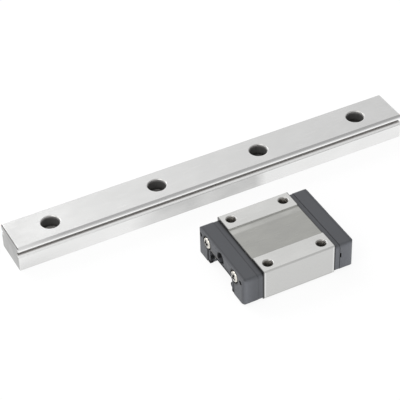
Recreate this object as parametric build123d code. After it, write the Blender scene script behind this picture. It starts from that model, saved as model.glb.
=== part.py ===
from build123d import *
import os
from math import cos, pi, sin, sqrt

# A miniature linear guide of size 15: a ground rail, and a ball carriage that
# stands beside it as it was lifted off. Millimetres, +Z up.
# Origin: the middle of the rail's bottom face. X runs along the rail, and the
# carriage stands on the side towards -Y, with its travel along X.
# Near and far mean the -Y and +Y side, left and right the -X and +X end.

# Rail
rail_length = 150.0
rail_width = 15.0
rail_height = 10.0
rail_top_chamfer = 0.65
rail_bottom_chamfer = 0.5
rail_end_chamfer = 0.3
rail_bolt_pitch = 40.0
rail_bolt_count = 4
rail_bolt_hole = 3.5
counterbore_diameter = 6.5
counterbore_depth = 4.5
counterbore_rim = 0.25
relief_height = 1.0
relief_clearance = 0.25

# Balls and the raceways that they run in
ball_diameter = 2.381
ball_height_on_rail = 7.2
raceway_conformity = 0.52
raceway_play = 0.02
ball_slack = 0.05
tube_clearance = 0.1
turn_radius = 1.95
turn_sides = 16

# Carriage block
bottom_gap = 4.0
side_gap = 0.72
roof_gap = 0.6
roof_thickness = 5.4
leg_thickness = 7.78
block_length = 26.7
block_edge_chamfer = 0.4
block_bottom_chamfer = 0.6
block_end_chamfer = 0.25
channel_fillet = 0.5
recess_width = 16.6
recess_depth = 0.45
bolt_spacing_along = 20.0
bolt_spacing_across = 25.0
bolt_thread = 3.0
bolt_thread_depth = 4.0
bolt_thread_rim = 0.4

# End caps, and the return plates between them and the block
plate_thickness = 2.0
plate_inset = 0.12
cap_side_inset = 0.1
cap_top_step = 1.0
cap_foot_step = 0.6
cap_top_radius = 1.3
cap_foot_chamfer = 0.4
cap_corner_radius = 1.8
cap_edge_chamfer = 0.4
cap_rail_gap = 0.3
guide_clearance = 0.04

# End seals, set into a pocket in the face of each cap
seal_thickness = 1.2
seal_step = 0.15
seal_band = 1.5
seal_slit = 0.3
seal_rail_gap = 0.12
seal_ear_thickness = 0.45
seal_ear_radius = 2.1

# Screws that hold each cap, its seal and its plate on the block
screw_thread = 2.0
screw_length = 10.0
screw_head_diameter = 4.0
screw_head_height = 1.35
screw_cross_width = 0.7
screw_cross_length = 2.3
screw_cross_depth = 0.8
screw_outboard = 1.2
screw_above_channel = 1.7
screw_tap_clearance = 0.02
screw_hole_clearance = 0.15
screw_head_pocket = 0.4
screw_tap_depth = 5.0
screw_hole_sides = 12

# Small features of the caps
port_thread = 4.0
port_rim = 0.2
port_depth = 4.2
port_below_top = 2.3
dimple_diameter = 1.7
dimple_depth = 0.6
dimple_sides = 10
dimple_inset = 2.3
dimple_below_top = 2.1
slot_length = 0.55
slot_height = 1.9
slot_depth = 0.8
slot_above_foot = 5.3

# Strips that keep the balls in the open carriage
strip_size = 0.6
strip_ball_gap = 0.02
strip_bend_radius = 0.7
strip_leg = 1.9
strip_clearance = 0.06
strip_wall = 0.1

# Where the carriage stands beside the rail
carriage_x = 2.6
carriage_y = -43.0

# What follows from the sizes above. The carriage's own frame has its zero
# height at its underside, so the rail lies lower in it by the bottom gap.
ball_radius = ball_diameter / 2
tube_radius = ball_radius + tube_clearance
ball_y = rail_width / 2 + side_gap / 2
return_y = ball_y + 2 * turn_radius
ball_z = ball_height_on_rail - bottom_gap
rail_top_z = rail_height - bottom_gap
channel_half = rail_width / 2 + side_gap
roof_z = rail_top_z + roof_gap
block_half = channel_half + leg_thickness
block_top = roof_z + roof_thickness
plate_face = block_length / 2
cap_face = plate_face + plate_thickness
seal_side = rail_width / 2 + seal_band
seal_top = rail_top_z + seal_band
slit_side = seal_side + seal_slit
slit_top = seal_top + seal_slit
cap_half = block_half - cap_side_inset
cap_top = block_top - cap_top_step
screw_y = channel_half + screw_outboard
screw_z = roof_z + screw_above_channel
pocket_radius = screw_head_diameter / 2 + screw_head_pocket
strip_half = strip_size / 2
strip_y = ball_y - ball_radius - strip_ball_gap - strip_half
turn_depth = turn_radius + tube_radius
turn_slope = tube_radius * (2 - sqrt(2))
strip_leg_x = cap_face + turn_depth + strip_wall + strip_half
seal_floor = strip_leg_x + strip_half + strip_wall
seal_front = seal_floor + seal_thickness
end_face = seal_front + seal_step
head_floor = seal_floor + seal_ear_thickness
beyond = 2.0


def outline(points):
    """A flat face in the cross-section plane, from its corners."""
    return Plane.YZ * make_face(Polyline(*points, close=True))


def section_circle(radius, y, z):
    """A round face in the cross-section plane."""
    return Plane.YZ * Pos(y, z) * Circle(radius)


def section_box(y_low, y_high, z_low, z_high):
    """A rectangular face in the cross-section plane."""
    middle = Pos((y_low + y_high) / 2, (z_low + z_high) / 2)
    return Plane.YZ * middle * Rectangle(y_high - y_low, z_high - z_low)


def prism(face, x_low, x_high):
    """The face drawn out along X, from one end to the other."""
    return Pos(x_low, 0, 0) * extrude(face, x_high - x_low)


def hole_along_x(radius, y, z, x_low, x_high):
    """A round bar along X, to cut a hole with."""
    return prism(section_circle(radius, y, z), x_low, x_high)


def screw_hole(clearance, x_low, x_high):
    """A bar round the far cap screw's shank with flat sides, to cut its hole."""
    radius = screw_thread / 2 + clearance
    sides = RegularPolygon(radius, screw_hole_sides, major_radius=False)
    return prism(Plane.YZ * Pos(screw_y, screw_z) * sides, x_low, x_high)


def both_sides(solid):
    """The solid and its mirror image on the other side of the rail's middle."""
    return solid + mirror(solid, Plane.XZ)


def far_and_near(solid):
    """The far piece and, mirrored from it, the near one."""
    return solid, mirror(solid, Plane.XZ)


def turned(solid):
    """The same piece at the carriage's other end, turned half round."""
    return Rot(0, 0, 180) * solid


def raceway(height, away):
    """A pointed-arch groove for the ball: two arcs that meet at its deepest line.
    away is +1 in the rail, where the arcs' centres lie outside the ball's."""
    radius = raceway_conformity * ball_diameter
    offset = (radius - ball_radius - raceway_play) / sqrt(2)
    upper = section_circle(radius, ball_y + away * offset, height - offset)
    lower = section_circle(radius, ball_y + away * offset, height + offset)
    return upper & lower


def rimmed_hole(radius, rim, depth):
    """A cutter for a hole down from the zero height, with a chamfered rim."""
    points = [
        (0, beyond),
        (radius + rim + beyond, beyond),
        (radius, -rim),
        (radius, -depth),
        (0, -depth),
    ]
    return revolve(Plane.XZ * make_face(Polyline(*points, close=True)), Axis.Z)


def rail_section():
    """The rail's ground profile, with a raceway and a relief slot on each side."""
    half, top, low = rail_width / 2, rail_top_chamfer, rail_bottom_chamfer
    body = outline(
        [
            (-half + low, 0),
            (half - low, 0),
            (half, low),
            (half, rail_height - top),
            (half - top, rail_height),
            (-half + top, rail_height),
            (-half, rail_height - top),
            (-half, low),
        ]
    )
    slot_floor = strip_y - strip_half - relief_clearance
    relief = section_box(
        slot_floor,
        ball_y,
        ball_height_on_rail - relief_height / 2,
        ball_height_on_rail + relief_height / 2,
    )
    groove = raceway(ball_height_on_rail, 1) + relief
    return body - groove - mirror(groove, Plane.XZ)


def make_rail():
    blank = Pos(0, 0, rail_height / 2) * Box(rail_length, rail_width, rail_height)
    ends = blank.faces().filter_by(Axis.X).edges()
    blank = chamfer(ends, rail_end_chamfer)
    rail = prism(rail_section(), -rail_length / 2, rail_length / 2) & blank
    bolt = rimmed_hole(counterbore_diameter / 2, counterbore_rim, counterbore_depth)
    bolt += Cylinder(rail_bolt_hole / 2, 2 * rail_height + 2 * beyond)
    first = -(rail_bolt_count - 1) * rail_bolt_pitch / 2
    for place in range(rail_bolt_count):
        rail -= Pos(first + place * rail_bolt_pitch, 0, rail_height) * bolt
    return rail


def block_section():
    """The carriage block's profile: a deep channel with a raceway in each leg."""
    edge, foot = block_edge_chamfer, block_bottom_chamfer
    body = outline(
        [
            (-block_half + foot, 0),
            (block_half - foot, 0),
            (block_half, foot),
            (block_half, block_top - edge),
            (block_half - edge, block_top),
            (-block_half + edge, block_top),
            (-block_half, block_top - edge),
            (-block_half, foot),
        ]
    )
    channel = section_box(-channel_half, channel_half, -beyond, roof_z)
    channel = fillet(channel.vertices().group_by(Axis.Z)[-1], channel_fillet)
    recess = section_box(
        -recess_width / 2, recess_width / 2, block_top - recess_depth, block_top + beyond
    )
    groove = raceway(ball_z, -1)
    return body - channel - recess - groove - mirror(groove, Plane.XZ)


def make_block():
    height = block_top + beyond
    blank = Pos(0, 0, height / 2) * Box(block_length, 2 * block_half, height)
    upright = blank.faces().filter_by(Axis.X).edges().filter_by(Axis.Z)
    blank = chamfer(upright, block_end_chamfer)
    block = prism(block_section(), -plate_face, plate_face) & blank
    bolt = rimmed_hole(bolt_thread / 2, bolt_thread_rim, bolt_thread_depth)
    for x in (-bolt_spacing_along / 2, bolt_spacing_along / 2):
        for y in (-bolt_spacing_across / 2, bolt_spacing_across / 2):
            block -= Pos(x, y, block_top) * bolt
    cuts = hole_along_x(tube_radius, return_y, ball_z, -end_face, end_face)
    tap = screw_hole(screw_tap_clearance, plate_face - screw_tap_depth, end_face)
    cuts += tap + mirror(tap, Plane.YZ)
    return block - both_sides(cuts)


def cap_outline(inset):
    """The outside of a cap seen from the end, drawn in by the inset."""
    half, top, low = cap_half - inset, cap_top - inset, cap_foot_step
    foot = low + cap_foot_chamfer
    shape = outline(
        [
            (-half + cap_foot_chamfer, low),
            (half - cap_foot_chamfer, low),
            (half, foot),
            (half, top),
            (-half, top),
            (-half, foot),
        ]
    )
    return fillet(shape.vertices().group_by(Axis.Z)[-1], cap_top_radius - inset)


def rail_shape(gap, tab):
    """The rail's outline with a gap all round, as the ends of the carriage leave
    it open. With tabs, the material follows the rail into its raceways."""
    half, top = rail_width / 2 + gap, rail_top_z + gap
    shape = outline(
        [
            (-half, -beyond),
            (half, -beyond),
            (half, top - rail_top_chamfer),
            (half - rail_top_chamfer, top),
            (-half + rail_top_chamfer, top),
            (-half, top - rail_top_chamfer),
        ]
    )
    if tab:
        nose = section_circle(ball_radius - gap, ball_y, ball_z)
        shape = shape - nose - mirror(nose, Plane.XZ)
    return shape


def make_plate():
    """Right return plate: it carries the two ball paths over to the cap."""
    plate = prism(cap_outline(plate_inset), plate_face, cap_face)
    plate -= prism(rail_shape(cap_rail_gap, False), plate_face - beyond, end_face)
    cuts = hole_along_x(tube_radius, ball_y, ball_z, plate_face - beyond, end_face)
    cuts += hole_along_x(tube_radius, return_y, ball_z, plate_face - beyond, end_face)
    cuts += screw_hole(screw_hole_clearance, plate_face - beyond, end_face)
    return plate - both_sides(cuts)


def turn_disc(radius, low, high):
    """A disc with flat sides about the middle of the half circle that turns the
    balls round in the far leg."""
    sides = RegularPolygon(radius, turn_sides, major_radius=False)
    return Pos(0, 0, low) * extrude(Rot(0, 0, 180 / turn_sides) * sides, high - low)


def at_turn(solid):
    return Pos(cap_face, (ball_y + return_y) / 2, ball_z) * solid


def seal_outline(side, top, foot):
    """The band round the channel that the seal fills, out to side and top."""
    corner = rail_top_chamfer
    return outline(
        [
            (-side, foot),
            (side, foot),
            (side, top - corner),
            (side - corner, top),
            (-side + corner, top),
            (-side, top - corner),
        ]
    )


def port_cutter():
    """What the right cap's grease port takes away, down from the end face."""
    port = rimmed_hole(port_thread / 2, port_rim, port_depth)
    return Pos(end_face, 0, cap_top - port_below_top) * Rot(0, 90, 0) * port


def make_cap():
    """Right end cap: a moulded cover with the ball turns inside, the seal's
    pocket, two screw pockets and a grease port in its face."""
    cap = prism(cap_outline(0), cap_face, end_face)
    rounded = Box(2 * end_face, 2 * cap_half, 2 * cap_top)
    rim = rounded.edges().filter_by(Axis.Y).group_by(Axis.X)[-1].sort_by(Axis.Z)[-1]
    rounded = chamfer(rim, cap_edge_chamfer)
    posts = rounded.edges().filter_by(Axis.Z).group_by(Axis.X)[-1]
    cap &= fillet(posts, cap_corner_radius)
    cap -= prism(rail_shape(cap_rail_gap, True), cap_face - beyond, end_face + beyond)
    cap -= prism(
        seal_outline(slit_side, slit_top, -beyond), seal_floor, end_face + beyond
    )

    turn = turn_disc(turn_depth, -tube_radius, tube_radius)
    turn = chamfer(turn.edges().filter_by(Plane.XY), turn_slope)
    strip_room = 2 * (strip_half + strip_clearance)
    strip_slot = Box(strip_room, 2 * (strip_y + strip_leg), strip_room)
    cuts = at_turn(turn)
    cuts += screw_hole(screw_hole_clearance, cap_face - beyond, end_face)
    cuts += hole_along_x(pocket_radius, screw_y, screw_z, seal_floor, end_face + beyond)
    cuts += Pos(strip_leg_x, 0, ball_z) * strip_slot
    cap -= both_sides(cuts)

    cap -= port_cutter()
    dimple = RegularPolygon(dimple_diameter / 2, dimple_sides)
    place = Pos(cap_half - dimple_inset, cap_top - dimple_below_top)
    dimple = prism(Plane.YZ * place * dimple, end_face - dimple_depth, end_face + beyond)
    cap -= both_sides(dimple)
    slot = Box(slot_length, 2 * slot_depth, slot_height)
    slot_z = cap_foot_step + slot_above_foot + slot_height / 2
    return cap - Pos(cap_face + slot_length / 2, -cap_half, slot_z) * slot


def make_seal():
    """Right end seal: a band that wipes the rail all round, held down under the
    screw heads by an ear at each upper corner."""
    band = seal_outline(seal_side, seal_top, cap_foot_step)
    seal = prism(band, seal_floor, seal_front)
    rail_room = prism(rail_shape(seal_rail_gap, True), cap_face, end_face + beyond)
    head_room = hole_along_x(pocket_radius, screw_y, screw_z, head_floor, end_face)
    ear = hole_along_x(seal_ear_radius, screw_y, screw_z, seal_floor, head_floor)
    shank = screw_hole(screw_hole_clearance, cap_face, end_face)
    seal -= both_sides(head_room)
    seal += both_sides(ear)
    return seal - both_sides(shank) - rail_room - port_cutter()


def make_guide():
    """Right far return guide: the inside of the ball turn, a half spool that
    stands on the return plate."""
    post, height = turn_radius - tube_radius, tube_radius - guide_clearance
    flange = turn_disc(post + turn_slope, tube_radius - turn_slope, 2 * tube_radius)
    flange = chamfer(flange.edges().group_by(Axis.Z)[0], turn_slope)
    spool = turn_disc(post, -height, height) + flange + mirror(flange, Plane.XY)
    half = Pos(turn_radius, 0, 0) * Box(2 * turn_radius, 4 * turn_radius, 2 * height)
    return at_turn(spool & half)


def make_screw():
    """Right far cap screw: a low head with a cross recess on a plain shank."""
    radius, height = screw_head_diameter / 2, screw_head_height
    head = Cylinder(radius, height, align=(Align.CENTER, Align.CENTER, Align.MIN))
    arm = Box(screw_cross_length, screw_cross_width, 2 * screw_cross_depth)
    cross = arm + Rot(0, 0, 90) * arm
    head -= Pos(0, 0, height) * cross
    shank = Cylinder(
        screw_thread / 2, screw_length, align=(Align.CENTER, Align.CENTER, Align.MAX)
    )
    return Pos(head_floor, screw_y, screw_z) * Rot(0, 90, 0) * (head + shank)


def make_strip():
    """Far ball retainer: a square strip along the ball row, with its ends bent
    into the caps."""
    end_y = strip_y + strip_leg
    path = FilletPolyline(
        (-strip_leg_x, end_y, ball_z),
        (-strip_leg_x, strip_y, ball_z),
        (strip_leg_x, strip_y, ball_z),
        (strip_leg_x, end_y, ball_z),
        radius=strip_bend_radius,
    )
    start = Plane(origin=path @ 0, z_dir=path % 0)
    return sweep(start * Rectangle(strip_size, strip_size), path)


def circuit_point(distance):
    """A point of the far ball circuit, by its distance along the closed path
    from the left end of the loaded row."""
    straight, half_turn = 2 * cap_face, pi * turn_radius
    middle = (ball_y + return_y) / 2
    if distance < straight:
        return (-cap_face + distance, ball_y)
    distance -= straight
    if distance < half_turn:
        angle = distance / turn_radius
        x = cap_face + turn_radius * sin(angle)
        return (x, middle - turn_radius * cos(angle))
    distance -= half_turn
    if distance < straight:
        return (cap_face - distance, return_y)
    angle = (distance - straight) / turn_radius
    x = -cap_face - turn_radius * sin(angle)
    return (x, middle + turn_radius * cos(angle))


def make_ball(rings, sides):
    """One ball with few faces: rings of flat sides, three-cornered at the poles."""

    def corner(ring, side):
        tilt, turn = pi * ring / rings, 2 * pi * side / sides
        spread = ball_radius * sin(tilt)
        return (spread * cos(turn), spread * sin(turn), ball_radius * cos(tilt))

    faces = []
    for ring in range(rings):
        for side in range(sides):
            corners = [
                corner(ring + 1, side),
                corner(ring + 1, side + 1),
                corner(ring, side + 1),
                corner(ring, side),
            ]
            if ring == 0:
                corners.pop()
            if ring == rings - 1:
                corners.pop(0)
            faces.append(Face(Wire.make_polygon(corners)))
    return Solid(Shell(faces))


def make_balls():
    """The far circuit's balls, as the loaded row and the ones on their way back."""
    total = 4 * cap_face + 2 * pi * turn_radius
    count = int(total / (ball_diameter + ball_slack))
    loaded, returning = [], []
    shown, hidden = make_ball(5, 7), make_ball(4, 5)
    for number in range(count):
        x, y = circuit_point((number + 0.5) * total / count)
        under_load = y == ball_y
        ball = shown if under_load else hidden
        row = loaded if under_load else returning
        row.append(Pos(x, y, ball_z) * ball)
    return Compound(children=loaded), Compound(children=returning)


def write(name, shape):
    """One file for each node. The carriage's pieces go to where it stands."""
    if name != "rail":
        shape = Pos(carriage_x, carriage_y, 0) * shape
    export_step(shape, "parts/" + name + ".step")


os.makedirs("parts", exist_ok=True)
write("rail", make_rail())
write("carriage_block", make_block())
for piece, shape in (
    ("return_plate", make_plate()),
    ("end_cap", make_cap()),
    ("end_seal", make_seal()),
):
    write("right_" + piece, shape)
    write("left_" + piece, turned(shape))
for piece, shape in (("cap_screw", make_screw()), ("return_guide", make_guide())):
    far, near = far_and_near(shape)
    write("right_far_" + piece, far)
    write("right_near_" + piece, near)
    write("left_far_" + piece, turned(near))
    write("left_near_" + piece, turned(far))
loaded_row, returning_row = make_balls()
for piece, shape in (
    ("ball_retainer", make_strip()),
    ("loaded_balls", loaded_row),
    ("return_balls", returning_row),
):
    far, near = far_and_near(shape)
    write("far_" + piece, far)
    write("near_" + piece, near)
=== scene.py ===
import math

import bmesh
import bpy
from mathutils import Matrix, Vector


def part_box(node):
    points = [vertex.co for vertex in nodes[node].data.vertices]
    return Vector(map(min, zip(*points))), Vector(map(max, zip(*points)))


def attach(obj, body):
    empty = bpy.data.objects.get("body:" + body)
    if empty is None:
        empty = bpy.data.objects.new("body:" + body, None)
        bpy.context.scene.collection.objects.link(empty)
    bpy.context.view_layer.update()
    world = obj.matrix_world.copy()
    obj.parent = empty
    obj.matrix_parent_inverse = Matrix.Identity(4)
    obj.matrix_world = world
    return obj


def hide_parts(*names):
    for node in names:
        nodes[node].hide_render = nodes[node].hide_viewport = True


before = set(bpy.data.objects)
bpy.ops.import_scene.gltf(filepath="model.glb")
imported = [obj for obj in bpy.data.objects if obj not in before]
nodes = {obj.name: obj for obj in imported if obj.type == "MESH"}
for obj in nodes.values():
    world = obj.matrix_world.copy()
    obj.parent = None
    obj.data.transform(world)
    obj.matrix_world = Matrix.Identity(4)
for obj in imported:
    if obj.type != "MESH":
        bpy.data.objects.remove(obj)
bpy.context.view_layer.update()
mm = 0.001
mergeDistance = 1e-7


# shader helpers

nodeGrid = {"left": -1800, "top": 600, "wide": 240, "high": 260, "rows": 5}     # in the node editor


def addNode(tree, kind, **inputs):
    # an underscore in an input's name stands for a space
    grid = nodeGrid
    made = tree.nodes.new(kind)
    column, row = divmod(len(tree.nodes), grid["rows"])
    made.location = (grid["left"] + grid["wide"] * column, grid["top"] - grid["high"] * row)
    for name, value in inputs.items():
        made.inputs[name.replace("_", " ")].default_value = value
    return made


def feed(tree, socket, value):
    # value is a socket, a number or a colour
    if isinstance(value, bpy.types.NodeSocket):
        tree.links.new(value, socket)
    elif isinstance(value, (int, float)):
        socket.default_value = value
    else:
        socket.default_value = (*value, 1.0)


def newMaterial(name):
    material = bpy.data.materials.new(name)
    material.use_nodes = True
    tree = material.node_tree
    tree.nodes.clear()
    output = addNode(tree, "ShaderNodeOutputMaterial")
    shader = addNode(tree, "ShaderNodeBsdfPrincipled")
    tree.links.new(shader.outputs[0], output.inputs[0])
    return material, tree, shader


def mathNode(tree, operation, first, second=0.0):
    made = addNode(tree, "ShaderNodeMath")
    made.operation = operation
    feed(tree, made.inputs[0], first)
    feed(tree, made.inputs[1], second)
    return made.outputs[0]


def allOf(tree, *masks):
    product = masks[0]
    for mask in masks[1:]:
        product = mathNode(tree, "MULTIPLY", product, mask)
    return product


def ownPlace(tree):
    # x, y and z in the part's own frame, and the same of the face's normal
    place = addNode(tree, "ShaderNodeTexCoord")
    spot = addNode(tree, "ShaderNodeSeparateXYZ")
    facing = addNode(tree, "ShaderNodeSeparateXYZ")
    tree.links.new(place.outputs["Object"], spot.inputs[0])
    tree.links.new(place.outputs["Normal"], facing.inputs[0])
    return spot.outputs, facing.outputs


def awayFrom(tree, source, middle):
    return mathNode(tree, "ABSOLUTE", mathNode(tree, "SUBTRACT", source, middle))


def distance(tree, first, second):
    # how far a point lies from a line, from its two offsets
    squares = mathNode(tree, "POWER", first, 2.0), mathNode(tree, "POWER", second, 2.0)
    return mathNode(tree, "SQRT", mathNode(tree, "ADD", *squares))


def stretchedNoise(tree, scale, detail):
    # noise in the part's own coordinates, scale in cycles per metre along x, y and z
    place = addNode(tree, "ShaderNodeTexCoord")
    mapping = addNode(tree, "ShaderNodeMapping", Scale=scale)
    noise = addNode(tree, "ShaderNodeTexNoise", Scale=1.0, Detail=detail)
    tree.links.new(place.outputs["Object"], mapping.inputs[0])
    tree.links.new(mapping.outputs[0], noise.inputs["Vector"])
    return noise.outputs["Fac"]


def spread(tree, source, low, high, outLow, outHigh):
    # outLow where the source is at low, outHigh where it is at high, and even between them
    ranged = addNode(tree, "ShaderNodeMapRange", From_Min=low, From_Max=high, To_Min=outLow, To_Max=outHigh)
    tree.links.new(source, ranged.inputs["Value"])
    return ranged.outputs["Result"]


def rising(tree, source, low, high):
    return spread(tree, source, low, high, 0.0, 1.0)


def falling(tree, source, low, high):
    return spread(tree, source, low, high, 1.0, 0.0)


def between(tree, source, low, high, blur):
    # 1 from low to high, fading out over the blur on each side
    return allOf(tree, rising(tree, source, low - blur, low), falling(tree, source, high, high + blur))


def mixColour(tree, amount, first, second, blend="MIX"):
    # the node's colour sockets are its inputs 6 and 7 and its output 2
    mix = addNode(tree, "ShaderNodeMix")
    mix.data_type = "RGBA"
    mix.blend_type = blend
    feed(tree, mix.inputs[0], amount)
    feed(tree, mix.inputs[6], first)
    feed(tree, mix.inputs[7], second)
    return mix.outputs[2]


def shaded(colour, share):
    return tuple(share * part for part in colour)


def cover(tree, shade, mask, colour, strength):
    return mixColour(tree, mathNode(tree, "MULTIPLY", mask, strength), shade, colour)


def layers(tree, shade, look, masks, grade=None):
    # lays each of the look's marks over the ones before it, by its colour and strength
    # a colour of one number is a share of the look's own colour
    # a strength of two numbers goes from the first to the second with the grade, a mask
    for name, (colour, strength) in look["layers"].items():
        if isinstance(colour, float):
            colour = shaded(look["colour"], colour)
        if isinstance(strength, tuple):
            strength = spread(tree, grade, 0.0, 1.0, *strength)
        shade = cover(tree, shade, masks[name], colour, strength)
    return shade


def edgeMask(tree, radius, turned=0.86):
    # 0 on flat faces, rising to 1 where the surface turns within the radius; the materials lay painted
    # highlights over it
    rounded = addNode(tree, "ShaderNodeBevel", Radius=radius)
    rounded.samples = 6
    flat = addNode(tree, "ShaderNodeNewGeometry")
    dot = addNode(tree, "ShaderNodeVectorMath")
    dot.operation = "DOT_PRODUCT"
    tree.links.new(rounded.outputs[0], dot.inputs[0])
    tree.links.new(flat.outputs["Normal"], dot.inputs[1])
    return falling(tree, dot.outputs["Value"], turned, 1.0)


def hollowMask(tree, reach, closedAt=0.3, openAt=0.85):
    # 0 on open faces, rising to 1 deep in holes, slots and corners; the materials lay painted shade over it
    shut = addNode(tree, "ShaderNodeAmbientOcclusion", Distance=reach)
    shut.samples = 8
    return falling(tree, shut.outputs["AO"], closedAt, openAt)


def bumpFrom(tree, height, depth, strength, radius=0.0):
    # a radius lays the bump over a rounded-edge normal
    bump = addNode(tree, "ShaderNodeBump", Strength=strength, Distance=depth)
    tree.links.new(height, bump.inputs["Height"])
    if radius:
        rounded = addNode(tree, "ShaderNodeBevel", Radius=radius)
        tree.links.new(rounded.outputs[0], bump.inputs["Normal"])
    return bump.outputs[0]


# ground steel of the rail and the block
groundSteel = {
    "grain": (160.0, 7000.0, 7000.0),       # lines along the rail, cycles per metre
    "grainDetail": 4.0,
    "grainRange": (0.3, 0.7),
    "grainShade": (0.975, 1.015),
    "mottle": (90.0, 160.0, 160.0),
    "mottleDetail": 3.0,
    "mottleRange": (0.35, 0.65),
    "cloudDetail": 4.0,
    "cloudRange": (0.38, 0.62),
    "roughness": (0.20, 0.28),
    "drilledRoughness": 0.75,
    "bumpDepth": 0.001 * mm,
    "bumpStrength": 0.25,
    "edgeRadius": 0.14 * mm,
}


def groundMaterial(name, look, masksOf):
    # masksOf gives the masks of one piece's marks, its cloud, and its drilled walls
    steel = groundSteel
    material, tree, shader = newMaterial(name)
    shader.inputs["Metallic"].default_value = 1.0
    grain = stretchedNoise(tree, steel["grain"], steel["grainDetail"])
    mottle = stretchedNoise(tree, steel["mottle"], steel["mottleDetail"])
    darker = shaded(look["colour"], 1 - look["contrast"])
    shade = mixColour(tree, rising(tree, mottle, *steel["mottleRange"]), darker, look["colour"])
    lines = spread(tree, grain, *steel["grainRange"], *steel["grainShade"])
    shade = mixColour(tree, 1.0, shade, lines, "MULTIPLY")
    masks, cloud, drilled = masksOf(tree)
    tree.links.new(layers(tree, shade, look, masks, cloud), shader.inputs["Base Color"])
    polished = spread(tree, grain, *steel["grainRange"], *steel["roughness"])
    rough = mathNode(tree, "MULTIPLY", drilled, steel["drilledRoughness"])
    tree.links.new(mathNode(tree, "MAXIMUM", polished, rough), shader.inputs["Roughness"])
    normal = bumpFrom(tree, grain, steel["bumpDepth"], steel["bumpStrength"], steel["edgeRadius"])
    tree.links.new(normal, shader.inputs["Normal"])
    return material


def cloudMask(tree, scale):
    steel = groundSteel
    return rising(tree, stretchedNoise(tree, scale, steel["cloudDetail"]), *steel["cloudRange"])


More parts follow.
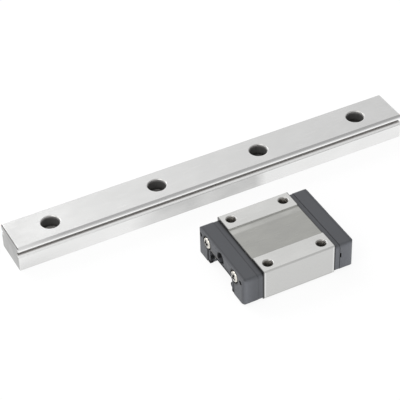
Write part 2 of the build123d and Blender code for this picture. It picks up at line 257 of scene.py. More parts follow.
# in all looks below, two limits are where a mask starts to change and where it is done,
# and three are from, to, and the blur on each side
# Along is from the middle of the length, Across from the middle of the width, Up from the floor,
# Reach from the middle of a hole or screw, Facing is a part of the face's normal,
# and Hollow is how far the hollow mask looks
railLook = {
    "colour": (0.80, 0.80, 0.795),
    "contrast": 0.04,
    "cloud": (70.0, 130.0, 130.0),
    "pitch": 40.0 * mm,                     # from hole to hole
    "sideAcross": (7.40 * mm, 7.45 * mm),
    "behindSideAcross": (7.40 * mm, 7.46 * mm),
    "endAlong": (74.0 * mm, 74.2 * mm),
    "topUp": (9.96 * mm, 9.98 * mm),
    "topFacing": (0.90, 0.95),
    "leftFacing": (-0.98, -0.90),
    "edgeWidth": 0.16 * mm,
    "chamferAcross": (6.7 * mm, 6.8 * mm),
    "chamferUp": (9.2 * mm, 9.3 * mm),
    "chamferFacing": (0.45, 0.85, 0.10),
    "shadeFadeAlong": (-72.0 * mm, -58.0 * mm),  # towards the left end the painted shade on the chamfer and below the top edge fades out
    "shadeFadeShare": 0.25,
    "belowEdgeUp": (8.95 * mm, 9.40 * mm, 0.10 * mm),
    "brightEdgeUp": (8.35 * mm, 8.85 * mm, 0.05 * mm),
    "endLineAlong": (-76.0 * mm, -74.7 * mm, 0.05 * mm),
    "endLineFacing": (0.3, 0.5),
    "notLevelFacing": (0.93, 0.97),
    "endShadeUp": (9.25 * mm, 9.50 * mm),
    "flankUp": (5.7 * mm, 5.9 * mm),
    "lipUp": (5.80 * mm, 5.98 * mm, 0.05 * mm),
    "lipAlong": (-55.0 * mm, -15.0 * mm),
    "lipShare": 0.1,                        # what is left of the lip at the left
    "slotHollow": 2.6 * mm,
    "slotUp": (6.45 * mm, 8.20 * mm, 0.10 * mm),
    "slotAcross": (5.0 * mm, 5.1 * mm),
    "lowerRaceUp": (6.05 * mm, 6.30 * mm, 0.10 * mm),
    "lowerRaceAcross": (6.0 * mm, 6.1 * mm),
    "innerRaceUp": (6.48 * mm, 6.80 * mm, 0.10 * mm),
    "boreUp": (0.10 * mm, 9.78 * mm, 0.10 * mm),
    "boreAcross": (3.3 * mm, 3.4 * mm),
    "boreFootUp": (6.0 * mm, 6.8 * mm),
    "mouthUp": (8.8 * mm, 9.7 * mm),
    "ledgeFacing": (0.7, 0.9),              # the step that the screw heads sit on
    "ledgeAlong": (-70.0 * mm, 30.0 * mm),
    "ledgeShare": 0.2,                      # what is left of it at the right
    "rimFootUp": (9.70 * mm, 9.74 * mm),
    "rimTopUp": (9.96 * mm, 9.99 * mm),
    "rimAcross": (3.7 * mm, 3.8 * mm),
    "rightFromHole": (-0.8 * mm, 0.4 * mm),
    "rightAcross": (-2.0 * mm, -1.0 * mm),
    "rightRingReach": (3.45 * mm, 3.70 * mm, 0.05 * mm),
    "glintReach": (3.48 * mm, 3.66 * mm, 0.04 * mm),
    "glintAcross": (-1.2 * mm, 0.3 * mm),
    "dulledTopAlong": (-74.0 * mm, -56.0 * mm),
    "dulledFootUp": (0.5 * mm, 5.0 * mm),
    "dulledFootAlong": (-74.0 * mm, -52.0 * mm),
    # where the painted reflection on the near flank starts and stops
    "paintedReflectionStart": (-34.0 * mm, -20.0 * mm),
    "paintedReflectionStop": (14.5 * mm, 19.0 * mm),
    "nearSideAcross": (0.0, 1.0 * mm),
    "layers": {
        "flank": ((0.88, 0.88, 0.875), 0.9),
        "flankCloud": ((0.78, 0.78, 0.775), 0.35),
        # painted highlight along the rail's edges
        "edge": ((0.90, 0.90, 0.90), 0.6),
        "dulledTop": ((0.64, 0.64, 0.635), (0.25, 0.75)),
        "dulledFoot": ((0.66, 0.66, 0.655), 0.7),
        # painted shade: the left end face darker, and darker still along its top
        "endFace": ((0.29, 0.29, 0.285), (0.80, 1.00)),
        "endShade": ((0.41, 0.41, 0.41), 0.7),
        # painted reflection: a darker zone on the near flank behind the carriage
        "paintedReflection": ((0.55, 0.55, 0.545), (0.65, 0.90)),
        # painted shade: the top chamfer darker, and a darker band below the top edge
        "chamfer": ((0.41, 0.41, 0.41), 0.85),
        "belowEdge": ((0.60, 0.60, 0.60), 0.85),
        # painted highlight: a bright line on the land between the chamfer and the groove
        "brightEdge": ((0.97, 0.97, 0.97), 0.9),
        "lip": ((0.30, 0.30, 0.29), 0.85),
        # painted shade on the rims of the bolt holes, more on their right, and a painted glint on the near
        # side
        "rim": ((0.50, 0.50, 0.49), 0.8),
        "rightRim": ((0.30, 0.30, 0.29), 0.85),
        "rightRing": ((0.70, 0.69, 0.68), 0.6),
        "glint": ((0.97, 0.97, 0.97), 0.9),
        # painted shade down the bores, with painted light towards the mouth, darkest at the foot
        "bore": ((0.14, 0.137, 0.133), 0.9),
        "mouth": ((0.70, 0.69, 0.68), 0.8),
        "boreFoot": ((0.07, 0.068, 0.065), 0.6),
        # painted shade in the groove along the rail
        "slot": ((0.47, 0.46, 0.45), 0.85),
        "innerRace": ((0.47, 0.46, 0.45), 0.8),
        # painted highlight along the lower edge of the groove
        "lowerRace": ((0.97, 0.97, 0.965), 0.9),
        # painted light on the step in the bores, fading towards the right
        "ledge": ((0.62, 0.61, 0.60), 1.0),
        # painted shade: a dark line along the top edge of the left end
        "endLine": ((0.10, 0.095, 0.09), 0.85),
    },
}


def masksOfRail(tree):
    look = railLook
    (x, y, z), facing = ownPlace(tree)
    side = awayFrom(tree, y, 0.0)
    end = awayFrom(tree, x, 0.0)
    cloud = cloudMask(tree, look["cloud"])
    outside = rising(tree, side, *look["sideAcross"])
    flank = allOf(tree, outside, falling(tree, z, *look["flankUp"]))
    upper = rising(tree, z, *look["chamferUp"])
    shadeFade = spread(tree, x, *look["shadeFadeAlong"], look["shadeFadeShare"], 1.0)
    endFace = allOf(tree, falling(tree, facing[0], *look["leftFacing"]),
                    rising(tree, end, *look["endAlong"]))
    inSlot = rising(tree, side, *look["slotAcross"])
    inside = falling(tree, end, *look["endAlong"])
    bore = allOf(tree, between(tree, z, *look["boreUp"]), inside,
                 falling(tree, side, *look["boreAcross"]))
    rim = allOf(tree, rising(tree, z, *look["rimFootUp"]), falling(tree, z, *look["rimTopUp"]),
                falling(tree, side, *look["rimAcross"]), inside)
    inPitch = mathNode(tree, "FLOORED_MODULO", x, look["pitch"])
    fromHole = mathNode(tree, "SUBTRACT", inPitch, look["pitch"] / 2)  # x from the nearest hole's middle
    reach = distance(tree, fromHole, side)
    top = rising(tree, z, *look["topUp"])
    right = allOf(tree, rising(tree, fromHole, *look["rightFromHole"]),
                  rising(tree, y, *look["rightAcross"]))
    masks = {
        "flank": flank,
        "flankCloud": allOf(tree, flank, cloud),
        "edge": edgeMask(tree, look["edgeWidth"]),
        "dulledTop": allOf(tree, falling(tree, x, *look["dulledTopAlong"]),
                           rising(tree, facing[2], *look["topFacing"])),
        "dulledFoot": allOf(tree, flank, falling(tree, z, *look["dulledFootUp"]),
                            falling(tree, x, *look["dulledFootAlong"])),
        "paintedReflection": allOf(tree, flank, rising(tree, x, *look["paintedReflectionStart"]),
                              falling(tree, x, *look["paintedReflectionStop"]),
                              falling(tree, y, *look["nearSideAcross"])),
        "endFace": endFace,
        "endShade": allOf(tree, endFace, rising(tree, z, *look["endShadeUp"])),
        "endLine": allOf(tree, upper, between(tree, x, *look["endLineAlong"]),
                         rising(tree, facing[2], *look["endLineFacing"]),
                         falling(tree, facing[2], *look["notLevelFacing"])),
        "chamfer": allOf(tree, between(tree, facing[2], *look["chamferFacing"]), upper,
                         rising(tree, side, *look["chamferAcross"]), shadeFade),
        "belowEdge": allOf(tree, outside, between(tree, z, *look["belowEdgeUp"]), shadeFade),
        "brightEdge": allOf(tree, outside, between(tree, z, *look["brightEdgeUp"])),
        "lip": allOf(tree, outside, between(tree, z, *look["lipUp"]),
                     spread(tree, x, *look["lipAlong"], look["lipShare"], 1.0)),
        "slot": allOf(tree, hollowMask(tree, look["slotHollow"]), inSlot,
                      between(tree, z, *look["slotUp"])),
        "innerRace": allOf(tree, between(tree, z, *look["innerRaceUp"]), inSlot,
                           falling(tree, side, *look["behindSideAcross"])),
        "lowerRace": allOf(tree, between(tree, z, *look["lowerRaceUp"]),
                           rising(tree, side, *look["lowerRaceAcross"])),
        "rim": rim,
        "rightRim": allOf(tree, right, rim),
        "rightRing": allOf(tree, right, between(tree, reach, *look["rightRingReach"]), top),
        "glint": allOf(tree, between(tree, reach, *look["glintReach"]),
                       falling(tree, y, *look["glintAcross"]), top),
        "bore": bore,
        "mouth": allOf(tree, bore, rising(tree, z, *look["mouthUp"])),
        "boreFoot": allOf(tree, bore, falling(tree, z, *look["boreFootUp"])),
        "ledge": allOf(tree, bore, rising(tree, facing[2], *look["ledgeFacing"]),
                       spread(tree, x, *look["ledgeAlong"], 1.0, look["ledgeShare"])),
    }
    return masks, cloud, bore


blockLow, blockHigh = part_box("carriage_block")
carriageX = (blockLow[0] + blockHigh[0]) / 2
carriageY = (blockLow[1] + blockHigh[1]) / 2
blockLook = {
    "colour": (0.765, 0.765, 0.750),
    "contrast": 0.05,
    "cloud": (120.0, 260.0, 260.0),
    "holeAlong": 10.0 * mm,                 # the middles of the bolt holes
    "holeAcross": 12.5 * mm,
    "holeReach": (1.88 * mm, 1.94 * mm),
    "holeFootUp": (-5.4 * mm, -5.2 * mm),   # Up is from the block's top here
    "holeTopUp": (-0.06 * mm, -0.02 * mm),
    "leftFacing": (-0.6, -0.2),
    "edgeWidth": 0.14 * mm,
    "sideAcross": (15.7 * mm, 15.8 * mm),
    "uprightFacing": (0.2, 0.4),
    "topEdgeAcross": (15.55 * mm, 15.65 * mm),
    "topEdgeUp": (-0.75 * mm, -0.55 * mm),
    "notLevelFacing": (0.93, 0.97),
    "recessHalf": 8.3 * mm,
    "recessAcross": (8.35 * mm, 8.45 * mm),
    "recessFootUp": (-1.2 * mm, -1.0 * mm),
    "recessTopUp": (-0.20 * mm, -0.15 * mm),
    "recessFacing": (0.8, 0.9),
    "farWallInside": (-0.7 * mm, -0.1 * mm),            # from the recess's far wall
    "farBandInside": (-2.4 * mm, -1.2 * mm, 0.8 * mm),
    "jointAlong": (13.05 * mm, 13.23 * mm),
    "rimAlong": (12.63 * mm, 12.99 * mm, 0.08 * mm),
    "deepHollow": 2.0 * mm,
    "deepUp": (-0.9 * mm, -0.6 * mm),
    "drilledShare": 0.4,
    "layers": {
        "side": ((0.60, 0.60, 0.59), 1.0),
        # painted highlight along the block's edges
        "edge": ((0.85, 0.85, 0.85), 0.35),
        "recess": ((0.445, 0.445, 0.420), 0.95),
        # painted light in a band near the recess's far wall, and painted shade at the wall itself
        "farBand": ((0.61, 0.61, 0.585), 0.8),
        "recessCloud": ((0.40, 0.40, 0.385), 0.45),
        "farWall": ((0.35, 0.35, 0.335), 0.45),
        # painted shade on the chamfer of the top's long edges
        "topEdge": ((0.49, 0.49, 0.48), 0.85),
        # painted highlight on the block's end chamfer, and painted shadow of the gap at the joint with the
        # return plates
        "rim": ((0.85, 0.85, 0.85), 0.6),
        "joint": ((0.07, 0.07, 0.07), 0.9),
        # painted shade in the bolt holes, more on the walls facing left, and in deep hollows
        "hole": ((0.27, 0.26, 0.245), 0.85),
        "leftFacingWall": ((0.13, 0.125, 0.12), 0.7),
        "deep": ((0.06, 0.058, 0.055), 0.6),
    },
}


def masksOfBlock(tree):
    look = blockLook
    (x, y, z), facing = ownPlace(tree)
    along = awayFrom(tree, x, carriageX)
    across = awayFrom(tree, y, carriageY)
    up = mathNode(tree, "SUBTRACT", z, blockHigh[2])
    inside = mathNode(tree, "SUBTRACT", y, carriageY + look["recessHalf"])
    cloud = cloudMask(tree, look["cloud"])
    side = allOf(tree, rising(tree, across, *look["sideAcross"]),
                 falling(tree, facing[2], *look["uprightFacing"]))
    recess = allOf(tree, falling(tree, up, *look["recessTopUp"]), rising(tree, up, *look["recessFootUp"]),
                   falling(tree, across, *look["recessAcross"]),
                   rising(tree, facing[2], *look["recessFacing"]))
    reach = distance(tree, awayFrom(tree, along, look["holeAlong"]),
                     awayFrom(tree, across, look["holeAcross"]))
    hole = allOf(tree, falling(tree, reach, *look["holeReach"]), rising(tree, up, *look["holeFootUp"]),
                 falling(tree, up, *look["holeTopUp"]))
    masks = {
        "side": side,
        "edge": edgeMask(tree, look["edgeWidth"]),
        "recess": recess,
        "recessCloud": allOf(tree, recess, cloud),
        "farBand": allOf(tree, recess, between(tree, inside, *look["farBandInside"])),
        "farWall": allOf(tree, recess, rising(tree, inside, *look["farWallInside"])),
        "topEdge": allOf(tree, rising(tree, across, *look["topEdgeAcross"]),
                         rising(tree, up, *look["topEdgeUp"]),
                         falling(tree, facing[2], *look["notLevelFacing"])),
        "rim": allOf(tree, side, between(tree, along, *look["rimAlong"])),
        "joint": rising(tree, along, *look["jointAlong"]),
        "hole": hole,
        "leftFacingWall": allOf(tree, hole, falling(tree, facing[0], *look["leftFacing"])),
        "deep": allOf(tree, hollowMask(tree, look["deepHollow"]), falling(tree, up, *look["deepUp"])),
    }
    return masks, cloud, mathNode(tree, "MULTIPLY", hole, look["drilledShare"])


railSteel = groundMaterial("railSteel", railLook, masksOfRail)
blockSteel = groundMaterial("blockSteel", blockLook, masksOfBlock)


# moulded plastic and rubber
moulded = {
    "grain": 5200.0,
    "grainDetail": 2.0,
    "cloud": 300.0,
    "cloudDetail": 4.0,
    "cloudRange": (0.35, 0.70),
    "cloudShade": 1.16,
    "speckle": 1700.0,
    "speckleDetail": 3.0,
    "speckleShade": (0.90, 1.10),
    "middleRange": (0.3, 0.7),
    "edgeHighlightWidth": 0.22 * mm,
    "edgeHighlightStrength": 0.9,
    "hollow": 1.6 * mm,
    "hollowShade": 0.12,
    "hollowStrength": 0.9,
    "bumpDepth": 0.006 * mm,
    "bumpStrength": 0.35,
    "edgeRadius": 0.14 * mm,
}


def mouldedMaterial(name, look, masksOf=None):
    # masksOf gives the masks of one piece's marks, and the grade of their strength
    plastic = moulded
    colour = look["colour"]
    material, tree, shader = newMaterial(name)
    shader.inputs["Specular IOR Level"].default_value = look["gloss"]
    grain = stretchedNoise(tree, (plastic["grain"],) * 3, plastic["grainDetail"])
    cloud = stretchedNoise(tree, (plastic["cloud"],) * 3, plastic["cloudDetail"])
    speckle = stretchedNoise(tree, (plastic["speckle"],) * 3, plastic["speckleDetail"])
    paler = shaded(colour, plastic["cloudShade"])
    shade = mixColour(tree, rising(tree, cloud, *plastic["cloudRange"]), colour, paler)
    speckled = spread(tree, speckle, *plastic["middleRange"], *plastic["speckleShade"])
    shade = mixColour(tree, 1.0, shade, speckled, "MULTIPLY")
    # painted highlight along the edges
    shade = cover(tree, shade, edgeMask(tree, plastic["edgeHighlightWidth"]), look["edgeHighlight"], plastic["edgeHighlightStrength"])
    if masksOf:
        shade = layers(tree, shade, look, *masksOf(tree))
    # painted shade in hollows and corners
    hollow = hollowMask(tree, plastic["hollow"])
    shade = cover(tree, shade, hollow, shaded(colour, plastic["hollowShade"]), plastic["hollowStrength"])
    tree.links.new(shade, shader.inputs["Base Color"])
    rough = spread(tree, cloud, *plastic["middleRange"], *look["roughness"])
    tree.links.new(rough, shader.inputs["Roughness"])
    normal = bumpFrom(tree, grain, plastic["bumpDepth"], plastic["bumpStrength"], plastic["edgeRadius"])
    tree.links.new(normal, shader.inputs["Normal"])
    return material


screwLow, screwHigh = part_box("left_near_cap_screw")
screwAcross = abs((screwLow[1] + screwHigh[1]) / 2 - carriageY)
screwUp = (screwLow[2] + screwHigh[2]) / 2

# slate grey plastic of the caps and the return plates
capLook = {
    "colour": (0.066, 0.069, 0.077),
    "edgeHighlight": (0.115, 0.110, 0.106),           # painted highlight: paler, brownish edges
    "roughness": (0.42, 0.55),
    "gloss": 0.4,
    "topFacing": (0.80, 0.97),
    "sideFacing": (0.55, 0.95),
    "nearFacing": (-0.9, -0.5),
    "seamAlong": (15.27 * mm, 15.45 * mm, 0.06 * mm),   # between return plate and cap
    "jointAlong": (13.25 * mm, 13.63 * mm, 0.10 * mm),  # painted shadow of the gap between block and return plate
    "cornerAlong": (16.74 * mm, 19.54 * mm),
    "lineAlong": (19.59 * mm, 19.89 * mm, 0.10 * mm),
    "faceAlong": (20.62 * mm, 20.66 * mm),
    "pocketEdgeUp": (7.78 * mm, 8.00 * mm, 0.05 * mm),
    "pocketEdgeAcross": (7.6 * mm, 7.9 * mm),
    "slitAcross": (9.2 * mm, 9.5 * mm, 0.05 * mm),
    "slitUp": (7.2 * mm, 7.5 * mm),
    "portUp": 8.7 * mm,                     # the middle of the grease port
    "portReach": (2.15 * mm, 2.25 * mm),
    "portFacing": (0.85, 0.95),
    "portRingShadeReach": (2.35 * mm, 2.60 * mm),
    "ringReach": (2.75 * mm, 3.10 * mm),    # painted shadow round the cap screws
    "rightAlong": (0.0, 1.0 * mm),
    "layers": {
        # painted shade round the grease port
        "portRingShade": (0.25, 0.7),
        # painted shadow round the cap screw heads
        "ring": (0.25, 0.8),
        # painted highlight on the upper edge of the seal's pocket
        "pocketEdge": ((0.115, 0.110, 0.106), 0.4),
        # painted shade in the slit beside the seal's legs
        "slit": (0.25, 0.9),
        # painted shade on the top, painted light on the sides, the outer corners and the right cap's near
        # side
        "top": (0.86, 1.0),
        "side": (1.38, 0.95),               # painted light: the sides paler than the top
        "corner": (1.9, 0.9),
        "rightSide": (2.2, 0.5),
        "line": (0.25, 0.35),
        "seam": (0.25, (0.75, 0.30)),       # weaker on the sides
        # painted shadow of the gap at the block
        "joint": (0.25, 0.9),
        # painted shade inside the grease port
        "port": (0.1, 0.92),
    },
}


def masksOfCap(tree):
    look = capLook
    (x, y, z), facing = ownPlace(tree)
    along = awayFrom(tree, x, carriageX)
    across = awayFrom(tree, y, carriageY)
    fromMiddle = mathNode(tree, "SUBTRACT", x, carriageX)
    top = rising(tree, facing[2], *look["topFacing"])
    side = rising(tree, awayFrom(tree, facing[1], 0.0), *look["sideFacing"])
    face = rising(tree, along, *look["faceAlong"])
    portReach = distance(tree, across, awayFrom(tree, z, look["portUp"]))
    screwReach = distance(tree, awayFrom(tree, across, screwAcross), awayFrom(tree, z, screwUp))
    masks = {
        "portRingShade": allOf(tree, face, falling(tree, portReach, *look["portRingShadeReach"])),
        "ring": allOf(tree, face, falling(tree, screwReach, *look["ringReach"])),
        "pocketEdge": allOf(tree, face, between(tree, z, *look["pocketEdgeUp"]),
                            falling(tree, across, *look["pocketEdgeAcross"])),
        "slit": allOf(tree, face, between(tree, across, *look["slitAcross"]),
                      falling(tree, z, *look["slitUp"])),
        "top": top,
        "side": side,
        "corner": allOf(tree, side, rising(tree, along, *look["cornerAlong"])),
        "rightSide": allOf(tree, side, rising(tree, fromMiddle, *look["rightAlong"]),
                           falling(tree, facing[1], *look["nearFacing"])),
        "line": allOf(tree, top, between(tree, along, *look["lineAlong"])),
        "seam": between(tree, along, *look["seamAlong"]),
        "joint": between(tree, along, *look["jointAlong"]),
        "port": allOf(tree, falling(tree, portReach, *look["portReach"]),
                      falling(tree, facing[2], *look["portFacing"])),
    }
    return masks, side


# the end seals, with a black lip round the rail and the pocket's shade on the outer band and the feet
sealLook = {
    "colour": (0.075, 0.077, 0.084),
    "edgeHighlight": (0.085, 0.08, 0.078),
    "roughness": (0.60, 0.75),
    "gloss": 0.12,
    "bandAcross": (8.55 * mm, 8.75 * mm),
    "lipUp": (6.70 * mm, 6.80 * mm),
    "lipAcross": (7.4 * mm, 7.5 * mm),
    "footUp": (1.4 * mm, 2.2 * mm),
    "highlightLineUp": (6.90 * mm, 7.15 * mm, 0.05 * mm),
    "highlightLineFromMiddle": (2.4 * mm, 7.2 * mm, 0.1 * mm),
    "layers": {
        # painted highlight: a pale line across the seal's inner band
        "highlightLine": ((0.20, 0.195, 0.19), 0.9),
        "dark": (0.10, 0.94),
    },
}


def masksOfSeal(tree):
    look = sealLook
    y, z = ownPlace(tree)[0][1:]
    fromMiddle = mathNode(tree, "SUBTRACT", y, carriageY)
    across = awayFrom(tree, y, carriageY)
    lip = allOf(tree, falling(tree, z, *look["lipUp"]), falling(tree, across, *look["lipAcross"]))
    bandOrLip = mathNode(tree, "MAXIMUM", rising(tree, across, *look["bandAcross"]), lip)
    masks = {
        "highlightLine": allOf(tree, between(tree, z, *look["highlightLineUp"]),
                      between(tree, fromMiddle, *look["highlightLineFromMiddle"])),
        "dark": mathNode(tree, "MAXIMUM", bandOrLip, falling(tree, z, *look["footUp"])),
    }
    return masks, None


guideLook = {
    "colour": (0.72, 0.72, 0.69),
    "edgeHighlight": (0.80, 0.80, 0.78),
    "roughness": (0.35, 0.50),
    "gloss": 0.4,
}
# painted shade: the grease ports' threads near black, standing for the shade inside the ports
portLook = {
    "colour": (0.010, 0.010, 0.011),
    "edgeHighlight": (0.02, 0.02, 0.02),
    "roughness": (0.5, 0.6),
    "gloss": 0.08,
}

slatePlastic = mouldedMaterial("slatePlastic", capLook, masksOfCap)
portPlastic = mouldedMaterial("portPlastic", portLook)
guidePlastic = mouldedMaterial("guidePlastic", guideLook)
sealRubber = mouldedMaterial("sealRubber", sealLook, masksOfSeal)


# plated steel of the screws, balls and retainers
plated = {
    "cloud": 1400.0,
    "cloudDetail": 4.0,
    "cloudRange": (0.35, 0.65),
    "dullShade": 0.82,
    "roughRange": (0.3, 0.7),
    "hollowColour": (0.03, 0.028, 0.025),
    "hollowRange": (0.45, 0.90),
    "hollowStrength": 0.92,
    "bumpDepth": 0.004 * mm,
    "bumpStrength": 0.3,
}
screwLook = {"colour": (0.84, 0.81, 0.74), "roughness": (0.22, 0.36), "hollow": 0.7 * mm}
ballLook = {"colour": (0.80, 0.81, 0.83), "roughness": (0.05, 0.12), "hollow": 0.5 * mm}
# painted shade: the threads in the block's bolt holes are a darker steel than the block
threadLook = {"colour": (0.34, 0.32, 0.29), "roughness": (0.30, 0.45), "hollow": 2.0 * mm}
headLook = {
    "colour": (0.84, 0.81, 0.74),
    "roughness": (0.20, 0.32),
    "hollow": 0.6 * mm,
    "crownReach": (1.40 * mm, 1.50 * mm),
    "crossReach": (1.34 * mm, 1.42 * mm),
    "crossWide": (0.40 * mm, 0.46 * mm),
    "crossUp": (0.25 * mm, 0.30 * mm),
    "layers": {
        # painted shade: the crown darker than its rim, darkest in the cross recess
        "crown": ((0.50, 0.49, 0.47), 0.8),
        "cross": ((0.02, 0.018, 0.016), 0.95),
    },
}


def masksOfHead(tree):
    # in a screw's own frame z is up from under the head, and the cross is cut into the crown
    look = headLook
    x, y, z = ownPlace(tree)[0]
    reach = distance(tree, x, y)
    nearer = mathNode(tree, "MINIMUM", awayFrom(tree, x, 0.0), awayFrom(tree, y, 0.0))
    masks = {
        "crown": falling(tree, reach, *look["crownReach"]),
        "cross": allOf(tree, falling(tree, reach, *look["crossReach"]),
                       falling(tree, nearer, *look["crossWide"]),
                       rising(tree, z, *look["crossUp"])),
    }
    return masks, None


def platedMaterial(name, look, masksOf=None):
    plating = plated
    material, tree, shader = newMaterial(name)
    shader.inputs["Metallic"].default_value = 1.0
    cloud = stretchedNoise(tree, (plating["cloud"],) * 3, plating["cloudDetail"])
    dull = shaded(look["colour"], plating["dullShade"])
    shade = mixColour(tree, rising(tree, cloud, *plating["cloudRange"]), dull, look["colour"])
    if masksOf:
        shade = layers(tree, shade, look, *masksOf(tree))
    # painted shade in hollows
    hollow = hollowMask(tree, look["hollow"], *plating["hollowRange"])
    shade = cover(tree, shade, hollow, plating["hollowColour"], plating["hollowStrength"])
    tree.links.new(shade, shader.inputs["Base Color"])
    rough = spread(tree, cloud, *plating["roughRange"], *look["roughness"])
    tree.links.new(rough, shader.inputs["Roughness"])
    normal = bumpFrom(tree, cloud, plating["bumpDepth"], plating["bumpStrength"])
    tree.links.new(normal, shader.inputs["Normal"])
    return material


headSteel = platedMaterial("headSteel", headLook, masksOfHead)
screwSteel = platedMaterial("screwSteel", screwLook)
ballSteel = platedMaterial("ballSteel", ballLook)
threadSteel = platedMaterial("threadSteel", threadLook)
print("materials made:", len(bpy.data.materials))


def dress(piece, material):
    piece.data.materials.clear()
    piece.data.materials.append(material)


for name, piece in nodes.items():
    if name == "rail":
        dress(piece, railSteel)
    elif name == "carriage_block":
        dress(piece, blockSteel)
    elif name.endswith(("end_cap", "return_plate")):
        dress(piece, slatePlastic)
    elif name.endswith("end_seal"):
        dress(piece, sealRubber)
    elif name.endswith("return_guide"):
        dress(piece, guidePlastic)
    else:
        dress(piece, screwSteel)
print("solids dressed:", len(nodes))


# mesh helpers

def placed(name, data):
    made = bpy.data.objects.new(name, data)
    bpy.context.scene.collection.objects.link(made)
    return made


def builtMesh(name, build, smooth=False):
    # build fills an empty bmesh in metres
    mesh = bpy.data.meshes.new(name)
    made = bmesh.new()
    build(made)
    bmesh.ops.recalc_face_normals(made, faces=made.faces)
    for face in made.faces:
        face.smooth = smooth
    made.to_mesh(mesh)
    made.free()
    return mesh


def carriagePiece(name, mesh):
    piece = placed(name, mesh)
    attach(piece, "carriage")
    return piece


def smoothPiece(name, material, build):
    mesh = builtMesh(name, build, smooth=True)
    mesh.materials.append(material)
    return carriagePiece(name, mesh)


def ringOf(made, radius, height, sides):
    turns = [2 * math.pi * i / sides for i in range(sides)]
    return [made.verts.new((radius * math.cos(turn), radius * math.sin(turn), height)) for turn in turns]


def joinRings(made, low, high):
    # the upper ring may be a single point
    for i in range(len(low)):
        j = (i + 1) % len(low)
        if len(high) == 1:
            made.faces.new((low[i], low[j], high[0]))
        else:
            made.faces.new((low[i], low[j], high[j], high[i]))


def joinHelix(made, rows, steps):
    # each row goes with the next, and the last with the first of the following turn
    for k in range(len(rows)):
        shift = 0 if k < len(rows) - 1 else steps
        after = rows[(k + 1) % len(rows)]
        for i in range(len(rows[k]) - 1 - shift):
            made.faces.new((rows[k][i], rows[k][i + 1], after[i + 1 + shift], after[i + shift]))


# threads, in the block's four bolt holes and in the two grease ports
threads = {
    "bolt": {
        "outer": 1.485 * mm,
        "inner": 1.26 * mm,
        "pitch": 0.5 * mm,
        "length": 3.5 * mm,
        "start": 0.4 * mm,
    },
    "port": {
        "outer": 1.985 * mm,
        "inner": 1.68 * mm,
        "pitch": 0.7 * mm,
        "length": 2.6 * mm,
        "start": 1.45 * mm,
    },
    # shares of the pitch and of the thread's height
    "profile": ((0.0, 0.0), (0.12, 0.0), (0.44, 1.0), (0.56, 1.0), (0.88, 0.0)),
    "steps": 36,                            # points in a turn
    "runOut": 9.0,                          # points over which the thread fades at both ends
}


def threadIn(made, mouth, inward, kind):
    # an open helical skin that starts below the mouth and runs inward
    thread, steps, runOut = threads[kind], threads["steps"], threads["runOut"]
    turn = inward.to_track_quat("Z", "Y").to_matrix()
    count = int(thread["length"] / thread["pitch"] * steps)
    rows = []
    for along, height in threads["profile"]:
        row = []
        for i in range(count + 1):
            angle = 2 * math.pi * i / steps
            fade = min(1.0, i / runOut, (count - i) / runOut)
            radius = thread["outer"] - (thread["outer"] - thread["inner"]) * height * fade
            depth = thread["start"] + min(thread["pitch"] * (i / steps + along), thread["length"])
            local = Vector((radius * math.cos(angle), radius * math.sin(angle), depth))
            row.append(made.verts.new(mouth + turn @ local))
        rows.append(row)
    joinHelix(made, rows, steps)


def boltThreads(made):
    for along in (-blockLook["holeAlong"], blockLook["holeAlong"]):
        for across in (-blockLook["holeAcross"], blockLook["holeAcross"]):
            mouth = Vector((carriageX + along, carriageY + across, blockHigh[2]))
            threadIn(made, mouth, Vector((0, 0, -1)), "bolt")


def portThreads(made):
    for end in (-1, 1):
        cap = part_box("right_end_cap" if end > 0 else "left_end_cap")
        face = cap[1][0] if end > 0 else cap[0][0]
        mouth = Vector((face, carriageY, capLook["portUp"]))
        threadIn(made, mouth, Vector((-end, 0, 0)), "port")


smoothPiece("block_bolt_threads", threadSteel, boltThreads)
smoothPiece("grease_port_threads", portPlastic, portThreads)
print("threads cut in six holes")


# cap screws with a domed head, a cross recess and a rolled thread
capScrew = {
    "headRadius": 2.0 * mm,
    "headHeight": 1.35 * mm,
    "headSides": 48,
    "footChamfer": 0.08 * mm,
    "rimHeight": 0.62 * mm,
    "roundWidth": 0.62 * mm,
    "roundHeight": 0.56 * mm,
    "roundSteps": 8,
    "crownSteps": 4,
    "crossWidth": 0.76 * mm,
    "crossReach": 1.3 * mm,
    "crossDepth": 0.85 * mm,
    "crossOver": 0.3 * mm,                  # how far the cutter stands above the crown
    "crossTaper": (0.45, 1.15),             # at its floor and at its top
    "softenWidth": 0.03 * mm,
    "softenAngle": 35.0,
    "creaseAngle": 32.0,
    "shankRadius": 0.99 * mm,
    "shankSides": 32,
    "rootRadius": 0.80 * mm,
    "pitch": 0.4 * mm,
    # shares of the pitch and of the thread's height
    "profile": ((0.0, 0.0), (0.1, 0.0), (0.45, 1.0), (0.55, 1.0), (0.9, 0.0)),
    "steps": 24,                            # points in a turn
    "runIn": 8.0,                           # points over which the thread fades below the neck
    "runOut": 20.0,                         # and at the tip
    "neck": 1.2 * mm,
    "neckPitches": 1.2,                     # how far the neck runs on into the thread
    "neckShare": 0.98,
    "neckOver": 0.01 * mm,                  # how far it reaches into the head
    "coreShare": 0.99,
    "tip": 0.5 * mm,
    "tipRadius": 0.5 * mm,
    "tipChamfer": 0.35 * mm,
    "length": 10.0 * mm,
    "turns": {"left_far": 12.0, "left_near": 64.0, "right_far": 33.0, "right_near": 80.0},
}


